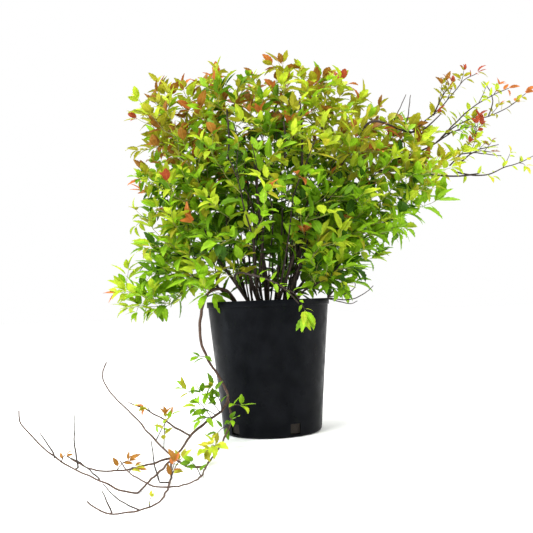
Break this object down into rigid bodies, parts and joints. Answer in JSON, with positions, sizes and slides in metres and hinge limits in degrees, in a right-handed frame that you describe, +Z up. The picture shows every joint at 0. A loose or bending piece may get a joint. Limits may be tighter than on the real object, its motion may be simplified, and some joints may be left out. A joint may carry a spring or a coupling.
{
  "type": "potted goldflame spirea",
  "caption": "Bushy goldflame spirea shrub in a round black nursery pot, with long sprays to the right and a bare trailing branch that lies on the ground in front.",
  "frame": {"origin": "middle of the pot's flat underside", "axes": "+Z up, -Y towards the side that the picture shows, +X to that view's right, along the long sprays"},
  "size_m": [1.0262, 0.9216, 0.8497],
  "materials": {
    "black_plastic": "satin moulded plastic",
    "potting_mix": "moist, crumbly",
    "bark": "rough bark",
    "dark_leaves": "matt leaves",
    "green_leaves": "satin leaves",
    "lime_leaves": "satin leaves",
    "bronze_leaves": "satin leaves",
    "young_leaves": "satin young leaves"
  },
  "bodies": {
    "root": {"pot": "black_plastic", "soil": "potting_mix", "stem_left_skirt": "bark", "stem_front_skirt": "bark", "stem_right_skirt": "bark", "stem_back_left_skirt": "bark", "stem_back_right_skirt": "bark", "stem_left": "bark", "stem_front_left": "bark", "stem_front_right": "bark", "stem_right": "bark", "stem_back_left": "bark", "stem_back_right": "bark", "stem_middle": "bark", "bough_upper_spray": "bark", "bough_middle_spray": "bark", "bough_lower_spray": "bark", "bough_front_spray": "bark", "trail_rise": "bark", "trail_hang": "bark", "trail_ground": "bark", "trail_end": "bark", "fork_ground": "bark", "fork_end": "bark", "side_shoot": "bark", "cross_shoot": "bark", "cross_end": "bark", "rising_shoot": "bark", "rising_end": "bark", "upper_shoot": "bark", "mass_left_skirt": "lime_leaves", "mass_front_skirt": "green_leaves", "mass_right_skirt": "green_leaves", "mass_back_left_skirt": "dark_leaves", "mass_back_right_skirt": "dark_leaves", "mass_left": "green_leaves", "mass_front_left": "green_leaves", "mass_front_right": "green_leaves", "mass_right": "green_leaves", "mass_back_left": "green_leaves", "mass_back_right": "green_leaves", "mass_left_shoulder": "bronze_leaves", "mass_middle": "lime_leaves", "mass_right_shoulder": "lime_leaves", "mass_right_high": "bronze_leaves", "mass_right_far": "lime_leaves", "mass_top_left": "bronze_leaves", "mass_top_middle": "bronze_leaves", "mass_top_right": "bronze_leaves", "pad_upper_spray": "bronze_leaves", "pad_middle_spray": "lime_leaves", "pad_lower_spray": "lime_leaves", "tuft_front_spray": "green_leaves", "tuft_beside_pot": "green_leaves", "tuft_on_ground": "lime_leaves", "tuft_at_fork": "young_leaves"}
  },
  "joints": []
}
